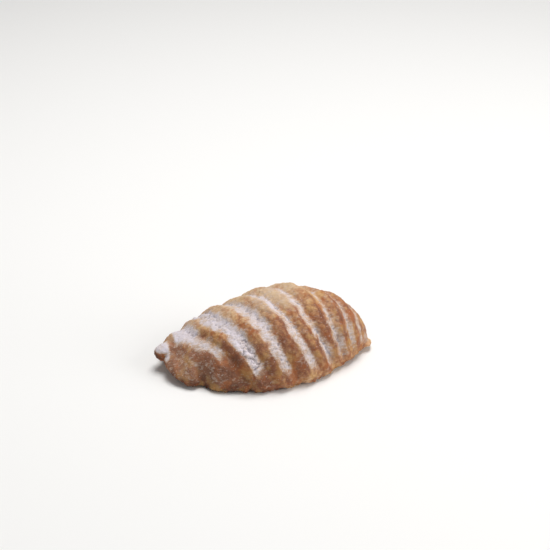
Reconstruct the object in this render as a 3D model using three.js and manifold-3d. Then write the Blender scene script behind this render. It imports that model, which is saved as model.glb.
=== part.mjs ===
// A filled apple tart of the rolled kind: one plump spindle of comb-ridged shortcrust, baked shut round
// its apple and resting on a flat base. Millimetres, +Z up, +X from the pinched knob to the torn lip.

import * as THREE from "three";
import { mergeVertices } from "three/addons/utils/BufferGeometryUtils.js";
import Module from "manifold-3d";

// Driving dimensions of the body
const REACH_LEFT = 41.4; // from the highest section to the tip that carries the knob
const REACH_RIGHT = 42; // from the highest section to the tip that carries the lip
const WIDTH = 50;
const WIDEST_PLACE = 2; // the body is widest a little past its highest section
const HEIGHT = 28.6;
const CROSS_FULLNESS = 2.1; // exponent of the dome's width curve, where 2 is an ellipse
const CROWN_FULLNESS = 2; // exponent of the dome's height curve
const FLAT_SHARE = 0.5; // share of each reach over which the base lies flat
const LIFT_LEFT = 5.2; // how far the underside curls up at the tips
const LIFT_RIGHT = 2.4;
const LIFT_POWER = 3;

// How width and height fall off towards each tip: (1 - reach^power)^(1/root)
const LEFT_WIDTH_FALL = { power: 2.1, root: 2.8 };
const RIGHT_WIDTH_FALL = { power: 1.65, root: 1.28 };
const LEFT_HEIGHT_FALL = { power: 1.1, root: 1.65 };
const RIGHT_HEIGHT_FALL = { power: 2.95, root: 1.9 };

// Ridges of the rolled sheet, given by the place of each crest along the top of the body. They wind round
// it like a screw thread: a ridge moves along as it goes down the near side, and back on the far side.
const RIDGE_CRESTS = [-35, -25, -14.4, -4.4, 6, 16, 24.8, 32.4, 38, 41];
const RIDGE_DEPTH = 2; // crest to groove
const RISE_SHARE_RIGHT = 0.55; // share of a ridge that climbs to the crest, past the highest section
const RISE_SHARE_LEFT = 0.25; // and at the knob's end, where the ridges are steps with long treads
const RIDGE_FALL_POWER = 1.25; // how hollow the slope behind the crest is
const RIDGE_DEPTH_SPREAD = 0.16; // seeded difference between ridges, as a share of the depth
const RIDGE_WANDER = 0.4; // how far a ridge strays from its line
const WANDER_AROUND = 2.4; // how fast it strays, in radians for each radian round the body
const WANDER_ALONG = 0.21; // and in radians for each mm along it
const RIDGE_FADE_HEIGHT = 8; // the ridges flatten out below this height
const RIDGE_FOOT_SHARE = 0.5; // share of the depth that is left at the base
const RIDGE_END_FADE = 15; // the ridges flatten where the dome is narrower or lower than this
const WIND = 12.8; // travel along the body for each radian round it
const WIND_FALL_POWER = 1; // how the winding dies out towards the tip that it runs to
const WIND_START = 0.98; // shares of the reach between which it sets in behind the other tip
const WIND_FULL = 0.8;
const FAR_SIDE = [0.35 * Math.PI, 0.65 * Math.PI]; // angles between which the near side's winding gives way

// Unevenness of hand-shaped dough
const LUMP_COUNT = 7;
const LUMP_HEIGHT = 0.2;
const LUMP_WAVES_ALONG = [1.5, 5.5]; // half waves from the highest section to a tip
const LUMP_WAVES_AROUND = [1, 5];
const CREASE_X = -28; // deep fold beside the knob's end, low on the near side
const CREASE_DEPTH = 3.5;
const CREASE_WIDTH = { knobSide: 2.3, otherSide: 3 }; // a steep wall, then a longer slope
const CREASE_FULL = 0.33; // angle on the dome up to which the fold keeps its depth, in radians
const CREASE_TOP = 1.1; // angle where it has died out
const FOOT_TUCK = 0.8; // how far the sides curl in to the base
const FOOT_HEIGHT = 2.6;
const FOOT_RAGGED = 0.7; // how far the base edge wanders in and out
const FOOT_WAVE_COUNT = 4;
const FOOT_WAVES = [0.6, 1.8]; // radians for each mm along the body
const FAR_FOOT_SHIFT = 1.7; // sets the far side's waves off from the near side's
const SEED = 130;

// Ends: a pinched knob of dough on one tip, and a thin torn lip on the other
const KNOB = { size: [11, 8.4, 7.6], centre: [-39, 0.6, 7.1] };
const LIP = { size: [9, 8.4, 3], centre: [39, -0.8, 2.6] };
const END_PIECE_SIDES = 14;
const END_PIECE_RINGS = 10;

// Mesh density
const DOME_STEPS = 46;
const BASE_STEPS = 6;
const STEPS_PER_RISE = 5;
const STEPS_PER_FALL = 4;
const END_STEPS = 6;
const RIDGED_LEFT = 0.98; // shares of the reaches that are ringed ridge by ridge
const RIDGED_RIGHT = 0.97;
const CREASE_RINGS = { first: -38, last: -35.6, count: 13 }; // extra rings where the ridges cross the fold
const MERGE_DISTANCE = 1e-3;

const CRUST_COLOUR = 0xb98a5f;
const CRUST_ROUGHNESS = 0.85;

// Small seeded generator, so that every build gives the same unevenness
const GENERATOR_FACTOR = 16807;
const GENERATOR_RANGE = 2147483647;

function seededRandom(seed) {
  let state = seed;
  return () => {
    state = (state * GENERATOR_FACTOR) % GENERATOR_RANGE;
    return state / GENERATOR_RANGE;
  };
}

const random = seededRandom(SEED);
const randomBetween = ([low, high]) => THREE.MathUtils.lerp(low, high, random());
const lumps = Array.from({ length: LUMP_COUNT }, () => ({
  alongWaves: randomBetween(LUMP_WAVES_ALONG),
  aroundWaves: randomBetween(LUMP_WAVES_AROUND),
  shift: 2 * Math.PI * random(),
}));
const footWaves = Array.from({ length: FOOT_WAVE_COUNT }, () => ({
  waves: randomBetween(FOOT_WAVES),
  shift: 2 * Math.PI * random(),
}));
const ridgeDepths = RIDGE_CRESTS.map(
  () => RIDGE_DEPTH * (1 + randomBetween([-RIDGE_DEPTH_SPREAD, RIDGE_DEPTH_SPREAD])),
);

function fallOff(reach, { power, root }) {
  return Math.max(0, 1 - reach ** power) ** (1 / root);
}

// Share of the way from a middle place to the tip on the same side
function reachFrom(middle, place) {
  const whole = place < middle ? middle + REACH_LEFT : REACH_RIGHT - middle;
  return Math.min(1, Math.abs(place - middle) / whole);
}

// Half width, height and underside of the plain dome at a place along the body
function sectionAt(place) {
  const left = place < 0;
  const reach = reachFrom(0, place);
  const widthReach = reachFrom(WIDEST_PLACE, place);
  const widthFall = place < WIDEST_PLACE ? LEFT_WIDTH_FALL : RIGHT_WIDTH_FALL;
  const curl = Math.max(0, (reach - FLAT_SHARE) / (1 - FLAT_SHARE)) ** LIFT_POWER;
  return {
    halfWidth: (WIDTH / 2) * fallOff(widthReach, widthFall),
    height: HEIGHT * fallOff(reach, left ? LEFT_HEIGHT_FALL : RIGHT_HEIGHT_FALL),
    underside: curl * (left ? LIFT_LEFT : LIFT_RIGHT),
  };
}

// Winding of a ridge on the side where it runs towards the tip that lies ahead
function windAhead(reach) {
  const settingIn = THREE.MathUtils.smoothstep(reach, -WIND_START, -WIND_FULL);
  return WIND * settingIn * (1 - Math.max(0, reach) ** WIND_FALL_POWER);
}

// Travel of a ridge along the body at an angle: the far side is the near side turned half round
function ridgeTravel(place, angle) {
  const reach = Math.sign(place) * reachFrom(0, place);
  const farShare = THREE.MathUtils.smoothstep(angle, ...FAR_SIDE);
  const wind = THREE.MathUtils.lerp(windAhead(reach), windAhead(-reach), farShare);
  return wind * (Math.PI / 2 - angle);
}

// Ends of the ridge that holds a place: grooves lie between neighbouring crests
function grooveBefore(index) {
  const crest = RIDGE_CRESTS[index];
  const neighbour = RIDGE_CRESTS[index - 1] ?? crest - (RIDGE_CRESTS[1] - RIDGE_CRESTS[0]);
  const towardsKnob = reachFrom(0, Math.min(0, crest));
  const riseShare = THREE.MathUtils.lerp(RISE_SHARE_RIGHT, RISE_SHARE_LEFT, towardsKnob);
  return crest - riseShare * (crest - neighbour);
}

// Height of the ridges over the plain dome, from half a depth below it to half a depth above
function ridgeHeight(place) {
  const last = RIDGE_CRESTS.length - 1;
  let index = 0;
  while (index < last && place >= grooveBefore(index + 1)) index += 1;
  const crest = RIDGE_CRESTS[index];
  const start = grooveBefore(index);
  const end = index < last ? grooveBefore(index + 1) : REACH_RIGHT;
  const rising = THREE.MathUtils.clamp((place - start) / (crest - start), 0, 1);
  const falling = THREE.MathUtils.clamp((end - place) / (end - crest), 0, 1);
  const profile = place < crest ? Math.sin((Math.PI / 2) * rising) : falling ** RIDGE_FALL_POWER;
  return ridgeDepths[index] * (profile - 0.5);
}

function lumpHeight(place, angle) {
  return lumps.reduce(
    (sum, lump) =>
      sum +
      LUMP_HEIGHT *
        Math.sin(
          (Math.PI * lump.alongWaves * place) / REACH_RIGHT + lump.aroundWaves * angle + lump.shift,
        ),
    0,
  );
}

function creaseDepth(x, angle) {
  const width = x < CREASE_X ? CREASE_WIDTH.knobSide : CREASE_WIDTH.otherSide;
  const across = Math.exp(-(((x - CREASE_X) / width) ** 2));
  return CREASE_DEPTH * across * (1 - THREE.MathUtils.smoothstep(angle, CREASE_FULL, CREASE_TOP));
}

// How far the side draws in or pushes out just above the base
function footInset(place, angle, z) {
  const closeness = Math.max(0, 1 - z / FOOT_HEIGHT) ** 2;
  const side = angle < Math.PI / 2 ? 0 : FAR_FOOT_SHIFT;
  const ragged = footWaves.reduce(
    (sum, wave) => sum + Math.sin(wave.waves * place + wave.shift + side),
    0,
  );
  return closeness * (FOOT_TUCK + (FOOT_RAGGED * ragged) / footWaves.length);
}

// A point of the dome: angle runs from 0 at the near base edge over the top to pi at the far one, and
// place is where the point's ridge line crosses the top
function domePoint(place, angle) {
  const x = place + ridgeTravel(place, angle);
  const { halfWidth, height, underside } = sectionAt(x);
  const cosine = Math.cos(angle);
  let y = -Math.sign(cosine) * Math.abs(cosine) ** (2 / CROSS_FULLNESS) * halfWidth;
  let z = Math.max(0, Math.sin(angle)) ** (2 / CROWN_FULLNESS) * height;
  const radius = Math.hypot(y, z);
  const endFade = THREE.MathUtils.smoothstep(Math.min(halfWidth, height), 0, RIDGE_END_FADE);
  if (radius > 0) {
    const footFade = THREE.MathUtils.smoothstep(z, 0, RIDGE_FADE_HEIGHT);
    const ridgeShare = RIDGE_FOOT_SHARE + (1 - RIDGE_FOOT_SHARE) * footFade;
    const relief = ridgeShare * ridgeHeight(place) + lumpHeight(x, angle) - creaseDepth(x, angle);
    const growth = 1 + (endFade * relief) / radius;
    y *= growth;
    z *= growth;
    y -= Math.sign(y) * endFade * footInset(x, angle, z);
  }
  const straying = Math.sin(WANDER_AROUND * angle + WANDER_ALONG * place) * Math.sin(angle);
  const wander = endFade * RIDGE_WANDER * straying;
  return new THREE.Vector3(x + wander, y, z + underside);
}

// Places of the rings along the body, with one on every crest and every groove
function ringPlaces() {
  const places = [];
  RIDGE_CRESTS.forEach((crest, index) => {
    const start = Math.max(grooveBefore(index), -REACH_LEFT);
    const next = index + 1 < RIDGE_CRESTS.length ? grooveBefore(index + 1) : REACH_RIGHT;
    for (let step = 0; step < STEPS_PER_RISE; step += 1)
      places.push(THREE.MathUtils.lerp(start, crest, step / STEPS_PER_RISE));
    for (let step = 0; step < STEPS_PER_FALL; step += 1)
      places.push(THREE.MathUtils.lerp(crest, next, step / STEPS_PER_FALL));
  });
  const ridged = (place) => place > -RIDGED_LEFT * REACH_LEFT && place < RIDGED_RIGHT * REACH_RIGHT;
  const { first, last, count } = CREASE_RINGS;
  for (let ring = 0; ring < count; ring += 1)
    places.push(THREE.MathUtils.lerp(first, last, ring / (count - 1)));
  const inner = places.filter(ridged).sort((a, b) => a - b);
  const endPlaces = (first, end) =>
    Array.from({ length: END_STEPS }, (_, step) =>
      THREE.MathUtils.lerp(first, end, Math.sin(((step + 1) / END_STEPS) * (Math.PI / 2))),
    );
  return [
    ...endPlaces(inner[0], -REACH_LEFT).reverse(),
    ...inner,
    ...endPlaces(inner[inner.length - 1], REACH_RIGHT),
  ].reverse();
}

// The body starts as a sphere with its poles on the two ends: each row of its vertices becomes one ring
function bodyGeometry() {
  const places = ringPlaces();
  const around = DOME_STEPS + BASE_STEPS;
  const geometry = new THREE.SphereGeometry(1, around, places.length - 1);
  const position = geometry.getAttribute("position");
  for (let row = 0; row < places.length; row += 1) {
    const place = places[row];
    const near = domePoint(place, 0);
    const far = domePoint(place, Math.PI);
    for (let column = 0; column <= around; column += 1) {
      const step = (column % around) - BASE_STEPS / 2;
      const onDome = step >= 0 && step <= DOME_STEPS;
      const baseShare = step < 0 ? 1 + step / BASE_STEPS : (step - DOME_STEPS) / BASE_STEPS;
      const point = onDome
        ? domePoint(place, Math.PI * (1 - step / DOME_STEPS))
        : near.clone().lerp(far, baseShare);
      position.setXYZ(row * (around + 1) + column, point.x, point.y, point.z);
    }
  }
  return geometry;
}

function endPieceGeometry({ size, centre }) {
  const geometry = new THREE.SphereGeometry(0.5, END_PIECE_SIDES, END_PIECE_RINGS);
  return geometry.scale(...size).translate(...centre);
}

const wasm = await Module();
wasm.setup();

// A closed solid with its shared vertices merged, ready to be joined
function solidFrom(geometry) {
  geometry.deleteAttribute("normal");
  geometry.deleteAttribute("uv");
  const merged = mergeVertices(geometry, MERGE_DISTANCE);
  const triangles = merged.getIndex().array;
  const used = [];
  for (let corner = 0; corner < triangles.length; corner += 3) {
    const [a, b, c] = triangles.slice(corner, corner + 3);
    if (a !== b && b !== c && c !== a) used.push(a, b, c);
  }
  return new wasm.Manifold(
    new wasm.Mesh({
      numProp: 3,
      vertProperties: new Float32Array(merged.getAttribute("position").array),
      triVerts: new Uint32Array(used),
    }),
  );
}

function geometryFrom(solid) {
  const { vertProperties, triVerts } = solid.getMesh();
  const geometry = new THREE.BufferGeometry();
  geometry.setAttribute("position", new THREE.BufferAttribute(vertProperties, 3));
  geometry.setIndex(new THREE.BufferAttribute(triVerts, 1));
  return geometry;
}

// Moves the origin to the middle of the footprint, on the surface that the pastry stands on
function centreOnBase(geometry) {
  geometry.computeBoundingBox();
  const { min, max } = geometry.boundingBox;
  return geometry.translate(-(min.x + max.x) / 2, -(min.y + max.y) / 2, -min.z);
}

const solid = solidFrom(bodyGeometry())
  .add(solidFrom(endPieceGeometry(KNOB)))
  .add(solidFrom(endPieceGeometry(LIP)));
const geometry = centreOnBase(geometryFrom(solid));
geometry.computeVertexNormals();

const pastry = new THREE.Mesh(
  geometry,
  new THREE.MeshStandardMaterial({ color: CRUST_COLOUR, roughness: CRUST_ROUGHNESS, metalness: 0 }),
);
pastry.name = "pastry";

const tart = new THREE.Group();
tart.add(pastry);

export default tart;
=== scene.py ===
"""Dresses the apple tart: a rolled and ridged shortcrust pastry, baked brown, dusted with icing sugar."""

import math

import bpy
import numpy as np
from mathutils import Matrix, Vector


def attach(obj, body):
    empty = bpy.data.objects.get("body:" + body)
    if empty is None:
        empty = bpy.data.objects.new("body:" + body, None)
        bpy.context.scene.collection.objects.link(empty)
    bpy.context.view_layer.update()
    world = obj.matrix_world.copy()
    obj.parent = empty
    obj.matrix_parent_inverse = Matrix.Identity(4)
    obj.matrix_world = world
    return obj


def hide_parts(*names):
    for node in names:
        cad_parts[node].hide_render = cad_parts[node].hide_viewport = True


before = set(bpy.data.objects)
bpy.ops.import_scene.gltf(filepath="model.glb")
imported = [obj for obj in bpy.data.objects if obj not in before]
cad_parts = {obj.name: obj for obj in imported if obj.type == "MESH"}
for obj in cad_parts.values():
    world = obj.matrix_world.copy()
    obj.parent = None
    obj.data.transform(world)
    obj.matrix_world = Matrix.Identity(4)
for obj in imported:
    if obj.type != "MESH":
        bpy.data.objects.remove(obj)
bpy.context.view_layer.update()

MM = 0.001
random = np.random.default_rng(4)

# Camera: the photo's viewing angle in degrees, on the lens in mm that its perspective suggests
CAMERA_LENS = 85
CAMERA_AZIMUTH = -11.2
CAMERA_ELEVATION = 30
CAMERA_DISTANCE = 519 * MM
CAMERA_AIM = Vector((7.4, 15.3, 28.3)) * MM
CAMERA_NEAREST = 10 * MM

# Studio: a pale floor under three soft boxes, each with its place, its side and its power in watts
FLOOR_SIZE = 4000 * MM
SOFT_BOXES = {
    "key": {"place": Vector((90, 150, 800)) * MM, "side": 420 * MM, "power": 5.5},
    "right": {"place": Vector((640, -320, 330)) * MM, "side": 500 * MM, "power": 2.4},
    "left": {"place": Vector((-600, -420, 420)) * MM, "side": 700 * MM, "power": 0.2},
}
SKY_STRENGTH = 0.25

# Crust mesh: the solid's loose triangles are merged, remeshed to small even faces and softened
MERGE_DISTANCE = 0.01 * MM
VOXEL = 0.365 * MM
SOFTENING = 0.5
SOFTENING_ROUNDS = 5

# Blurs over the mesh: they even out the ridges, the stray of the sugar's edges and the crumb, which is then
# noted in tenths of a mm
RIDGE_BLUR_ROUNDS = 230
STRAY_BLUR_ROUNDS = 34
CRUMB_BLUR_ROUNDS = 8
CRUMB_STEPS_PER_MM = 10

# Relief: the size of a bump and the height it adds in mm, whether its creases are soft or hard, the steps of
# finer noise in it, the share of its height that lies below the plain crust, and the places it keeps to
SOFT = "SOFT_NOISE"
HARD = "HARD_NOISE"
RELIEF = {
    "dough_lumps": {"size": 6.0, "height": 0.9, "noise": SOFT, "steps": 2, "below": 0.5, "places": ""},
    "crags": {"size": 2.6, "height": 0.5, "noise": HARD, "steps": 2, "below": 0.5, "places": ""},
    "crumb": {"size": 1.2, "height": 0.4, "noise": SOFT, "steps": 2, "below": 0.5, "places": "bare"},
    "cracks": {"size": 2.0, "height": 1.6, "noise": HARD, "steps": 1, "below": 0.3, "places": "drifts"},
    "foot": {"size": 2.8, "height": 2.2, "noise": HARD, "steps": 2, "below": 0.3, "places": "foot"},
}

# Relief under sugar: the share of the crumb that sugar fills, and how much it cracks wherever it lies
CRUMB_FILLED = 0.5
DRIFT_CRACKS = 0.1

# Ridges, read from the mesh: the lean along the body and the rise in mm that count as a full flank and a
# full crest. A place on a ridge runs from 0 at its crest over 1 in the groove to 2 at the next crest, and
# strays a little. Browning builds up towards a crest and stops short at the place past it given here.
LEAN_SPAN = 0.4
RISE_SPAN = 0.9
PLACE_STRAY = 0.09
BROWNING_LIP = 0.4

# The ridges wind round the body, so each is known by the spot where it crosses the top: how many mm it winds
# along for each radian round, how far from the middle that has eased to none on the way to a tip, and the
# rounds in which the spot is found
RIDGE_WIND = 12.8
HALF_LENGTH = 42
WINDING_ROUNDS = 3

# Icing sugar on the ridges, from the knob at one tip to the tail at the other: the ridge's spot on top in
# mm, the place past its crest where the sugar starts, how far on it is half spent, how much further it
# reaches on top, how thick it lies, the share of that missing high up, how much it cracks low down, the film
# between the bands, which is below 0 where even stray grains are few, and the height in mm that the sugar
# stays above
SUGAR_RIDGES = {
    "spot": [-40, -36, -30.5, -27.5, -21.5, -11, -1, 9.5, 19, 27.5, 35],
    "lip": [-0.65, -0.65, -0.65, 0.28, 0.28, 0.42, 0.42, 0.55, 0.65, 0.85, 0.85],
    "reach": [0.8, 1.2, 1.2, 0.78, 0.78, 0.76, 0.65, 0.84, 0.72, 0.66, 0.65],
    "reach_on_top": [0.8, 1.0, 1.0, 1.7, 1.7, 1.0, 0.2, -0.3, -0.3, -0.3, -0.3],
    "strength": [0.5, 1.1, 1.2, 1.0, 1.0, 0.8, 0.82, 0.98, 1.02, 0.95, 0.75],
    "lost_high_up": [0.0, 0.0, 0.0, 0.0, 0.0, 0.0, 0.1, 0.35, 0.5, 0.5, 0.4],
    "cracks": [0.0, 0.0, 0.0, 0.1, 1.1, 0.4, 0.1, 0.1, 0.1, 0.1, 0.1],
    "film": [0.12, 0.07, 0.03, -0.05, -0.05, -0.1, -0.2, -0.15, -0.15, -0.1, 0.05],
    "bare_below": [10, 9, 8, 2.5, 2.5, 2, 1, -1, -3, -3, -3],
}

# A band of sugar: the mm over which it thins towards the foot, half the stretch of ridge over which it is
# spent, half the width of the soft edge that it starts with, and how far up a flank faces where its reach is
# neither more nor less than the ridge's own
SUGAR_FADE = 9
SUGAR_SPENDING = 0.3
LIP_EDGE = 0.17
FLANK_FACING = 0.55

# Dust outside the bands: what is added low on the crust and on the crown, and how strong the crown's pale
# veil is on the far side. The veil is partly painted light on the top.
LOW_DUST = 0.08
CROWN_DUST = 0.2
FAR_SIDE_VEIL = 0.6

# Zones of the crust: the measures that bound each, with the value where the zone starts and the one where it
# is full. x runs from the knob to the tail, y from the near side to the far side, and both are in mm, as
# height and rise are. A plain normal is that of the body without its ridges.
ZONES = {
    "ridged": [("ridge", 0.15, 0.5)],
    "folded_in": [("rise", -1.0, -2.0)],
    "crest": [("past_crest", 1.4, 1.85)],
    "open_to_sky": [("plain_normal_z", -0.3, 0.5)],
    "far_side": [("plain_normal_y", -0.25, 0.25), ("x", 25, 12), ("facing_up", 0.3, 0.8)],
    "crown": [("height", 25.5, 28.5), ("x", 18, 6)],
    "below_crown": [("height", 22, 15)],
    "knob": [("x", -37.5, -39), ("off_middle", 7, 5)],
    "level": [("normal_z", 0.3, 0.7)],
    "cap_behind_knob": [("x", -27, -30), ("x", -36.5, -35), ("y", -5, 0), ("normal_z", 0.5, 0.8)],
    "flank_to_knob": [("normal_x", -0.45, -0.75), ("x", -28, -24), ("height", 21, 17)],
    "knob_half": [("x", 10, -15)],
    "tail_half": [("x", 5, 20)],
    "tail_end": [("x", 8, 25)],
    "high_up": [("height", 10, 22)],
    "shoulder": [("height", 12, 20)],
    "side": [("height", 20, 6)],
    "low_side": [("height", 12, 1)],
    "dusty_side": [("height", 10, 4)],
    "toasted_and_shaded_low_side": [("height", 8, 1)],
    "foot": [("height", 3.5, 0.5)],
    "toasted_and_shaded_rim": [("height", 2.5, 0)],
}

# Baking and painted light: how brown the crust is all over, and how much more or less so where all the zones
# named overlap. Crests brown most. The top, the folds and the low side stay pale, but the knob's half is
# dark towards the tray. The pale top and folds and the dark low side of the knob's half are partly painted
# light and shade.
TOAST_ALL_OVER = 0.58
TOAST_AND_PAINTED_LIGHT_CHANGES = [
    (0.35, ["crest", "ridged"]),
    (-0.2, ["crest", "ridged", "knob_half"]),
    (-0.25, ["crest", "ridged", "knob_half", "shoulder"]),
    # Partly painted light: the fold browns less, and is made paler still against the shade in it
    (-0.2, ["folded_in"]),
    # Partly painted light: the crust is paler the more it faces up, more so on the knob's half
    (-0.4, ["facing_up"]),
    (-0.1, ["facing_up", "knob_half"]),
    # Partly painted shadow: the top darkens towards the tail, where a neighbouring pastry shades it
    (0.15, ["facing_up", "tail_end"]),
    (-0.05, ["tail_half"]),
    (-0.25, ["far_side"]),
    # Partly painted shade: low down and at its rim the knob's half is darker, as its near low side lies in
    # shade
    (0.53, ["knob_half", "side"]),
    (0.4, ["knob_half", "toasted_and_shaded_low_side"]),
    (0.3, ["knob_half", "toasted_and_shaded_rim"]),
    # Painted shade: flanks that face the knob are darker, as if turned from the light
    (0.22, ["knob_half", "flank_to_knob"]),
    (-0.4, ["low_side"]),
]

# Patterns that break up the crust's colour: the size of a spot, and how many times longer it is along the
# roll. Real grains of flour and sugar are too fine to show, so grains, clumps and powder are drawn coarser.
CRUST_GRIT = {
    "blotches": (6 * MM, 1),
    "patches": (4 * MM, 1),
    "crags": (2 * MM, 1),
    "grains": (0.7 * MM, 1.5),
    "drifts": (3.5 * MM, 1),
    "clumps": (1.1 * MM, 2.5),
    "powder": (0.5 * MM, 4),
}

# What decides the browning, with its painted light and shade, and the cover of sugar: a value noted on the
# mesh, and the shares of other sources that break it up
BLENDS = {
    # Painted shade and highlight: the crumb's share browns the pits and pales the tips
    "browned_and_painted_light": ("toast_and_painted_light", {"blotches": 1.0, "crags": 0.8, "grains": 0.8, "crumb": -0.06}),
    "covered": ("sugar_load", {"drifts": 1.2, "clumps": 1.0, "powder": 0.9}),
}

# Coats of colour, each over the one before: what decides where it lies, the values where it starts and where
# it is full, how strong it is there, and its colour
DOUGH_COLOUR = "ddbf9c"
CRUST_COATS = [
    ("browned_and_painted_light", 1.07, 1.42, 1.0, "c29268"),
    ("browned_and_painted_light", 1.37, 1.77, 1.0, "95624a"),
    ("browned_and_painted_light", 1.65, 2.75, 1.0, "55352a"),
    ("patches", 0.49, 0.65, 0.65, "ab653a"),
    ("blotches", 0.5, 0.35, 0.45, "c39b60"),
    ("grains", 0.55, 0.75, 0.3, "dfc8a8"),
    ("sugar_load", 0.0, 0.5, 0.45, "cfb196"),
    # Partly painted light: a pale veil of dust on the crown and on the far side's top
    ("veil_and_top_light", 0.0, 1.0, 0.55, "cdb79d"),
    ("covered", 1.75, 2.1, 0.35, "d0b08e"),
]
# Painted shade: thin sugar starts grey and turns white only where it lies thick, so each band darkens
# towards its groove
SHADED_THIN_SUGAR_COLOUR = "c9b6a9"
SUGAR_COATS = [
    ("powder", 0.4, 0.65, 0.5, "c9bdb9"),
    # Painted shade, with the thin sugar's grey: only thick sugar turns fully white
    ("covered", 2.05, 2.75, 1.0, "d9d1da"),
    # Painted shade: the sugar turns grey in the pits of the crumb
    ("crumb", -0.5, -1.8, 0.75, "857c82"),
]

# Cover of sugar: the value where it starts to hide the crust, and the one where it hides all of it
SUGAR_COVER = (1.7, 2.3)

# Icing sugar clumps: how many there are, of how many shapes, how rough, large and flat they are, how much
# they crowd where sugar is thick, the chance of one outside the drifts, and the share of a radius that they
# sink in
CLUMP_COUNT = 6000
CLUMP_SHAPES = 5
CLUMP_ROUGHNESS = 0.4
CLUMP_RADIUS = (0.1 * MM, 0.28 * MM)
CLUMP_FLATNESS = 0.5
CLUMP_CROWDING = 2
CLUMP_STRAY = 0.012
CLUMP_SINK = 0.3

# Powder in a clump: real grains are about a twentieth of a mm, and are drawn coarser so that they show
POWDER_GRAIN = 0.15 * MM
POWDER_SHADE_COLOUR = "d8ced1"
POWDER_COATS = [("grain", 0.35, 0.65, 1.0, "eee6e1")]


def smooth_between(low, high, values):
    """Runs from 0 at low to 1 at high, easing in and out."""
    share = np.clip((values - low) / (high - low), 0, 1)
    return share * share * (3 - 2 * share)


def linear(hex_colour):
    """Turns an sRGB hex colour into linear red, green, blue and alpha."""
    channels = [int(hex_colour[start : start + 2], 16) / 255 for start in (0, 2, 4)]
    return (*[c / 12.92 if c <= 0.04045 else ((c + 0.055) / 1.055) ** 2.4 for c in channels], 1.0)


def add_node(tree, kind, settings=None, inputs=None):
    """Adds a node with its settings. An input is a value, or the socket that feeds it."""
    node = tree.nodes.new(kind)
    for name, value in (settings or {}).items():
        setattr(node, name, value)
    for name, value in (inputs or {}).items():
        if isinstance(value, bpy.types.NodeSocket):
            tree.links.new(value, node.inputs[name])
        else:
            node.inputs[name].default_value = value
    return node


def select_only(piece):
    """Makes a piece the only one that the next operator acts on."""
    bpy.ops.object.select_all(action="DESELECT")
    piece.select_set(True)
    bpy.context.view_layer.objects.active = piece


def shape_with(piece, kind, **settings):
    """Puts a modifier on a piece and applies it."""
    select_only(piece)
    modifier = piece.modifiers.new(kind.lower(), kind)
    for name, value in settings.items():
        setattr(modifier, name, value)
    bpy.ops.object.modifier_apply(modifier=modifier.name)


def make_camera():
    """Sets the camera up where the photo was taken from."""
    azimuth = math.radians(CAMERA_AZIMUTH)
    elevation = math.radians(CAMERA_ELEVATION)
    back = Vector(
        (
            math.sin(azimuth) * math.cos(elevation),
            -math.cos(azimuth) * math.cos(elevation),
            math.sin(elevation),
        )
    )
    bpy.ops.object.camera_add(location=CAMERA_AIM + CAMERA_DISTANCE * back)
    camera = bpy.context.object
    camera.rotation_euler = back.to_track_quat("Z", "Y").to_euler()
    camera.data.lens = CAMERA_LENS
    camera.data.clip_start = CAMERA_NEAREST
    bpy.context.scene.camera = camera


def make_studio():
    """Lays the floor and hangs the soft boxes, all aimed at the middle of it."""
    bpy.ops.mesh.primitive_plane_add(size=FLOOR_SIZE)
    floor = bpy.context.object
    floor.name = "floor"
    floor.data.materials.append(pale_paper())
    for name, box in SOFT_BOXES.items():
        bpy.ops.object.light_add(type="AREA", location=box["place"])
        light = bpy.context.object
        light.name = name
        light.rotation_euler = box["place"].to_track_quat("Z", "Y").to_euler()
        light.data.size = box["side"]
        light.data.energy = box["power"]
    world = bpy.data.worlds.new("studio")
    world.use_nodes = True
    world.node_tree.nodes["Background"].inputs["Color"].default_value = linear("ffffff")
    world.node_tree.nodes["Background"].inputs["Strength"].default_value = SKY_STRENGTH
    bpy.context.scene.world = world
    bpy.context.scene.view_settings.view_transform = "Standard"


def pale_paper():
    """Matt white background paper: bright and without a sheen, so that the pastry alone draws the eye."""
    material = bpy.data.materials.new("background_paper")
    material.use_nodes = True
    shader = material.node_tree.nodes["Principled BSDF"]
    shader.inputs["Base Color"].default_value = linear("f2f1ef")
    shader.inputs["Roughness"].default_value = 0.9
    shader.inputs["Specular IOR Level"].default_value = 0.1
    return material


def mesh_rows(collection, name, width):
    """Reads one property of a mesh's vertices, edges, faces or normals as rows of numbers."""
    kind = np.int32 if name == "vertices" else np.float32
    values = np.empty(len(collection) * width, kind)
    collection.foreach_get(name, values)
    return values.reshape(-1, width)


def surface_of(mesh):
    """Reads a mesh's points in mm, its normals, and the pairs of points that its edges link."""
    points = mesh_rows(mesh.vertices, "co", 3).astype(float) / MM
    normals = mesh_rows(mesh.vertex_normals, "vector", 3).astype(float)
    return points, normals, mesh_rows(mesh.edges, "vertices", 2)


def blurred(values, links, rounds):
    """Evens out values over a mesh: in each round every vertex takes the mean of its neighbours."""
    first, second = links.T
    count = len(values)
    neighbours = np.bincount(first, minlength=count) + np.bincount(second, minlength=count)
    for _ in range(rounds):
        total = np.bincount(first, values[second], count) + np.bincount(second, values[first], count)
        values = total / neighbours
    return values


def blurred_rows(rows, links, rounds):
    """Evens out each column of a set of rows over a mesh."""
    return np.stack([blurred(column, links, rounds) for column in rows.T], 1)


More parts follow.
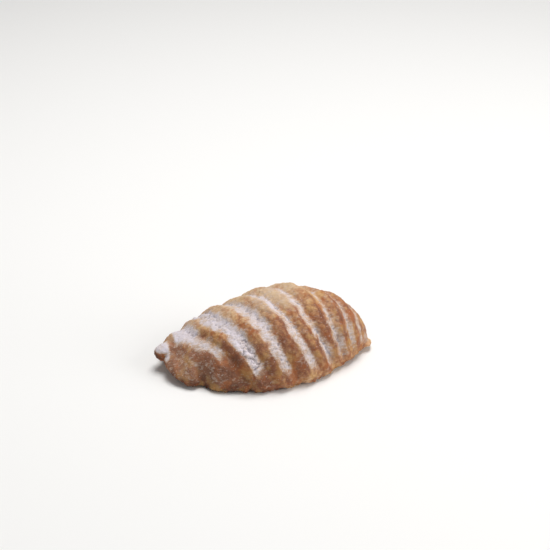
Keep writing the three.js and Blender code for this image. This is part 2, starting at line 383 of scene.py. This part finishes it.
def make_crust():
    """The pastry's own form, remeshed fine enough to carry a crumb."""
    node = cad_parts["pastry"]
    crust = bpy.data.objects.new("crust", node.data.copy())
    bpy.context.collection.objects.link(crust)
    select_only(crust)
    bpy.ops.object.mode_set(mode="EDIT")
    bpy.ops.mesh.select_all(action="SELECT")
    bpy.ops.mesh.remove_doubles(threshold=MERGE_DISTANCE)
    bpy.ops.object.mode_set(mode="OBJECT")
    shape_with(crust, "SUBSURF", levels=1, render_levels=1)
    shape_with(crust, "REMESH", mode="VOXEL", voxel_size=VOXEL)
    shape_with(crust, "SMOOTH", factor=SOFTENING, iterations=SOFTENING_ROUNDS)
    note_ridges(crust)
    for name, relief in RELIEF.items():
        texture = bpy.data.textures.new(name, "CLOUDS")
        texture.noise_scale = relief["size"] * MM
        texture.noise_type = relief["noise"]
        texture.noise_depth = relief["steps"]
        shape_with(
            crust,
            "DISPLACE",
            texture=texture,
            texture_coords="LOCAL",
            strength=relief["height"] * MM,
            mid_level=relief["below"],
            vertex_group=relief["places"],
        )
    settle_on_floor(crust)
    note_crumb(crust)
    bpy.ops.object.shade_smooth()
    return crust


def settle_on_floor(piece):
    """Presses flat what the relief pushed below the base."""
    points = mesh_rows(piece.data.vertices, "co", 3)
    points[:, 2] = np.maximum(points[:, 2], 0)
    piece.data.vertices.foreach_set("co", points.ravel())
    piece.data.update()


def note(mesh, name, values):
    """Keeps one number for each vertex, for the material to read."""
    attribute = mesh.attributes.new(name, "FLOAT", "POINT")
    attribute.data.foreach_set("value", values.astype(np.float32))


def note_ridges(crust):
    """Works out from the ridges where sugar lies, where the crust is darkest from baking and painted shade,
    and where relief goes.
    """
    measures = measure_ridges(crust.data)
    zones = zone_shares(measures)
    sugar = {}
    for name, values in SUGAR_RIDGES.items():
        sugar[name] = np.interp(measures["spot"], SUGAR_RIDGES["spot"], values)
    load = sugar_load(measures, zones, sugar)
    toast_and_painted_light = TOAST_ALL_OVER
    for change, overlapping in TOAST_AND_PAINTED_LIGHT_CHANGES:
        toast_and_painted_light = toast_and_painted_light + change * np.prod([zones[name] for name in overlapping], axis=0)
    note(crust.data, "sugar_load", load)
    note(crust.data, "toast_and_painted_light", toast_and_painted_light)
    note(crust.data, "veil_and_top_light", np.maximum(zones["crown"], FAR_SIDE_VEIL * zones["far_side"]))
    sugared = np.clip(load, 0, 1)
    places = {
        "bare": 1 - CRUMB_FILLED * sugared,
        "drifts": sugared * (DRIFT_CRACKS + sugar["cracks"] * zones["below_crown"]),
        "foot": zones["foot"],
    }
    for name, weights in places.items():
        group = crust.vertex_groups.new(name=name)
        for index, weight in enumerate(weights):
            group.add([index], weight, "REPLACE")


def measure_ridges(mesh):
    """Measures where each vertex lies, which way it faces, and where on which ridge it is."""
    points, normals, links = surface_of(mesh)
    plain_points = blurred_rows(points, links, RIDGE_BLUR_ROUNDS)
    plain_normals = blurred_rows(normals, links, RIDGE_BLUR_ROUNDS)
    plain_normals /= np.linalg.norm(plain_normals, axis=1)[:, None]
    rise = np.einsum("ij,ij->i", points - plain_points, plain_normals)
    rise -= blurred(rise, links, RIDGE_BLUR_ROUNDS)
    lean = normals[:, 0] - plain_normals[:, 0]
    stray = blurred(random.normal(size=len(points)), links, STRAY_BLUR_ROUNDS)
    turn = np.arctan2(lean / LEAN_SPAN, -rise / RISE_SPAN) / np.pi
    place = 1 - turn + PLACE_STRAY * stray / stray.std()
    x, y, height = points.T
    return {
        "x": x,
        "y": y,
        "off_middle": np.abs(y),
        "height": height,
        "normal_x": normals[:, 0],
        "normal_z": normals[:, 2],
        "plain_normal_y": plain_normals[:, 1],
        "plain_normal_z": plain_normals[:, 2],
        "facing_up": np.clip(plain_normals[:, 2], 0, 1),
        "rise": rise,
        "ridge": np.hypot(lean / LEAN_SPAN, rise / RISE_SPAN),
        "place": place,
        "past_crest": (place - BROWNING_LIP) % 2,
        "spot": spot_on_top(x, y, height),
    }


def spot_on_top(x, y, height):
    """Follows the ridge at each vertex round the body to the spot where it crosses the top."""
    round_body = np.arctan2(height, -y)
    side = np.where(round_body < np.pi / 2, 1, -1)
    spot = x
    for _ in range(WINDING_ROUNDS):
        wind = RIDGE_WIND * (1 - np.clip(side * spot / HALF_LENGTH, 0, 1))
        spot = x - wind * (np.pi / 2 - round_body)
    return spot


def zone_shares(measures):
    """Works out how far each vertex is in each zone, from 0 outside it to 1 where it is full."""
    shares = {"facing_up": measures["facing_up"]}
    for name, bounds in ZONES.items():
        eased = [smooth_between(start, full, measures[measure]) for measure, start, full in bounds]
        shares[name] = np.prod(eased, axis=0)
    return shares


def sugar_load(measures, zones, sugar):
    """Works out how thick the sugar lies: banked up past the lip of each ridge, and dusted elsewhere."""
    past_lip = (measures["place"] - sugar["lip"]) % 2
    reach = sugar["reach"] + sugar["reach_on_top"] * (measures["facing_up"] - FLANK_FACING)
    spent = smooth_between(reach - SUGAR_SPENDING, reach + SUGAR_SPENDING, past_lip)
    # The soft edge straddles the lip, which is 0 on its own ridge and 2 on the one before
    lip = smooth_between(-LIP_EDGE, LIP_EDGE, past_lip) + smooth_between(-LIP_EDGE, LIP_EDGE, past_lip - 2)
    banked = np.where(past_lip < 1, lip * (1 - spent), np.maximum(lip - 1, 1 - spent))
    bare_below = sugar["bare_below"]
    clear_of_foot = smooth_between(bare_below, bare_below + SUGAR_FADE, measures["height"])
    thick = sugar["strength"] * (1 - sugar["lost_high_up"] * zones["high_up"])
    load = banked * zones["ridged"] * clear_of_foot * thick
    load = np.maximum(load, sugar["film"] + LOW_DUST * zones["dusty_side"])
    load = np.maximum(load, zones["cap_behind_knob"])
    load += CROWN_DUST * zones["crown"]
    load *= zones["open_to_sky"] * (1 - zones["folded_in"])
    load += zones["knob"] * (zones["level"] - load)
    return load


def note_crumb(crust):
    """Works out how far each spot stands out of the crumb around it."""
    points, normals, links = surface_of(crust.data)
    plain_points = blurred_rows(points, links, CRUMB_BLUR_ROUNDS)
    standing_out = np.einsum("ij,ij->i", points - plain_points, normals)
    note(crust.data, "crumb", CRUMB_STEPS_PER_MM * standing_out)


def coated(tree, sources, colour, coats):
    """Lays coats over a colour, each over the one before, and gives the socket of the last."""
    for source, start, full, strength, shade in coats:
        share = add_node(
            tree,
            "ShaderNodeMapRange",
            inputs={"Value": sources[source], "From Min": start, "From Max": full, "To Max": strength},
        ).outputs["Result"]
        colour = add_node(
            tree, "ShaderNodeMixRGB", inputs={"Fac": share, "Color1": colour, "Color2": linear(shade)}
        ).outputs["Color"]
    return colour


def baked_shortcrust():
    """Baked shortcrust under icing sugar: matt and sandy, golden on top, brown at the foot, partly by
    painted light and shade.
    """
    material = bpy.data.materials.new("baked_shortcrust")
    material.use_nodes = True
    tree = material.node_tree
    shader = tree.nodes["Principled BSDF"]
    place = add_node(tree, "ShaderNodeTexCoord").outputs["Object"]
    sources = {}
    for name, (size, length) in CRUST_GRIT.items():
        scaled = add_node(
            tree,
            "ShaderNodeMapping",
            inputs={"Vector": place, "Scale": (1 / (size * length), 1 / size, 1 / size)},
        )
        sources[name] = add_node(
            tree,
            "ShaderNodeTexNoise",
            inputs={"Vector": scaled.outputs["Vector"], "Scale": 1, "Detail": 2.5, "Roughness": 0.6},
        ).outputs["Fac"]
    for name in ("toast_and_painted_light", "sugar_load", "veil_and_top_light", "crumb"):
        sources[name] = add_node(tree, "ShaderNodeAttribute", {"attribute_name": name}).outputs["Fac"]
    for name, (noted, shares) in BLENDS.items():
        sources[name] = sources[noted]
        for other, share in shares.items():
            sources[name] = add_node(
                tree,
                "ShaderNodeMath",
                {"operation": "MULTIPLY_ADD"},
                {0: sources[other], 1: share, 2: sources[name]},
            ).outputs[0]

    crust_colour = coated(tree, sources, linear(DOUGH_COLOUR), CRUST_COATS)
    sugar_colour = coated(tree, sources, linear(SHADED_THIN_SUGAR_COLOUR), SUGAR_COATS)
    bare_until, full_from = SUGAR_COVER
    cover = add_node(
        tree,
        "ShaderNodeMapRange",
        inputs={"Value": sources["covered"], "From Min": bare_until, "From Max": full_from},
    ).outputs["Result"]
    colour = add_node(
        tree, "ShaderNodeMixRGB", inputs={"Fac": cover, "Color1": crust_colour, "Color2": sugar_colour}
    ).outputs["Color"]
    tree.links.new(colour, shader.inputs["Base Color"])
    bump = add_node(
        tree, "ShaderNodeBump", inputs={"Height": sources["grains"], "Strength": 0.8, "Distance": 0.3 * MM}
    )
    tree.links.new(bump.outputs["Normal"], shader.inputs["Normal"])
    shader.inputs["Roughness"].default_value = 0.85
    shader.inputs["Specular IOR Level"].default_value = 0.15
    return material


def clump_shapes():
    """A few rough clumps of unit size, as points and triangles."""
    shapes = []
    for number in range(CLUMP_SHAPES):
        bpy.ops.mesh.primitive_ico_sphere_add(subdivisions=1, radius=1)
        clump = bpy.context.object
        bpy.ops.object.mode_set(mode="EDIT")
        bpy.ops.transform.vertex_random(offset=CLUMP_ROUGHNESS, seed=number + 1)
        bpy.ops.object.mode_set(mode="OBJECT")
        corners = mesh_rows(clump.data.polygons, "vertices", 3)
        shapes.append((mesh_rows(clump.data.vertices, "co", 3), corners))
        bpy.ops.object.delete()
    return shapes


def make_clumps(crust):
    """Grains of icing sugar that stuck together: thick on the drifts, with a few strays between them."""
    mesh = crust.data
    count = len(mesh.polygons)
    centres = mesh_rows(mesh.polygons, "center", 3)
    normals = mesh_rows(mesh.polygons, "normal", 3)
    load = np.empty(len(mesh.vertices), np.float32)
    mesh.attributes["sugar_load"].data.foreach_get("value", load)
    corners = mesh_rows(mesh.polygons, "vertices", 4)
    chance = np.clip(load[corners].mean(1), 0, 1) ** CLUMP_CROWDING
    chance += CLUMP_STRAY * np.clip(normals[:, 2], 0, 1)
    chosen = random.choice(count, CLUMP_COUNT, replace=False, p=chance / chance.sum())
    radii = random.uniform(*CLUMP_RADIUS, CLUMP_COUNT)
    shapes = clump_shapes()
    points = []
    triangles = []
    for order, (face, radius) in enumerate(zip(chosen, radii)):
        shape_points, shape_triangles = shapes[order % CLUMP_SHAPES]
        turn = Vector(normals[face]).to_track_quat("Z", "Y").to_matrix()
        turned = (shape_points * (radius, radius, radius * CLUMP_FLATNESS)) @ np.array(turn).T
        triangles.append(shape_triangles + order * len(shape_points))
        points.append(turned + centres[face] - normals[face] * radius * CLUMP_SINK)
    sugar = bpy.data.meshes.new("icing_sugar")
    sugar.from_pydata(np.concatenate(points), [], np.concatenate(triangles))
    clumps = bpy.data.objects.new("icing_sugar", sugar)
    bpy.context.collection.objects.link(clumps)
    return clumps


def powdered_sugar():
    """Icing sugar: a matt white powder that takes a faint lilac from the shade between its grains."""
    material = bpy.data.materials.new("powdered_sugar")
    material.use_nodes = True
    tree = material.node_tree
    shader = tree.nodes["Principled BSDF"]
    place = add_node(tree, "ShaderNodeTexCoord").outputs["Object"]
    grain = add_node(
        tree,
        "ShaderNodeTexNoise",
        inputs={"Vector": place, "Scale": 1 / POWDER_GRAIN, "Detail": 2, "Roughness": 0.6},
    ).outputs["Fac"]
    colour = coated(tree, {"grain": grain}, linear(POWDER_SHADE_COLOUR), POWDER_COATS)
    tree.links.new(colour, shader.inputs["Base Color"])
    bump = add_node(
        tree, "ShaderNodeBump", inputs={"Height": grain, "Strength": 0.5, "Distance": 0.05 * MM}
    )
    tree.links.new(bump.outputs["Normal"], shader.inputs["Normal"])
    shader.inputs["Roughness"].default_value = 0.9
    shader.inputs["Specular IOR Level"].default_value = 0.2
    return material


make_camera()
make_studio()
crust = make_crust()
crust.data.materials.clear()
crust.data.materials.append(baked_shortcrust())
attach(crust, "root")
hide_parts("pastry")
clumps = make_clumps(crust)
clumps.data.materials.append(powdered_sugar())
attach(clumps, "root")
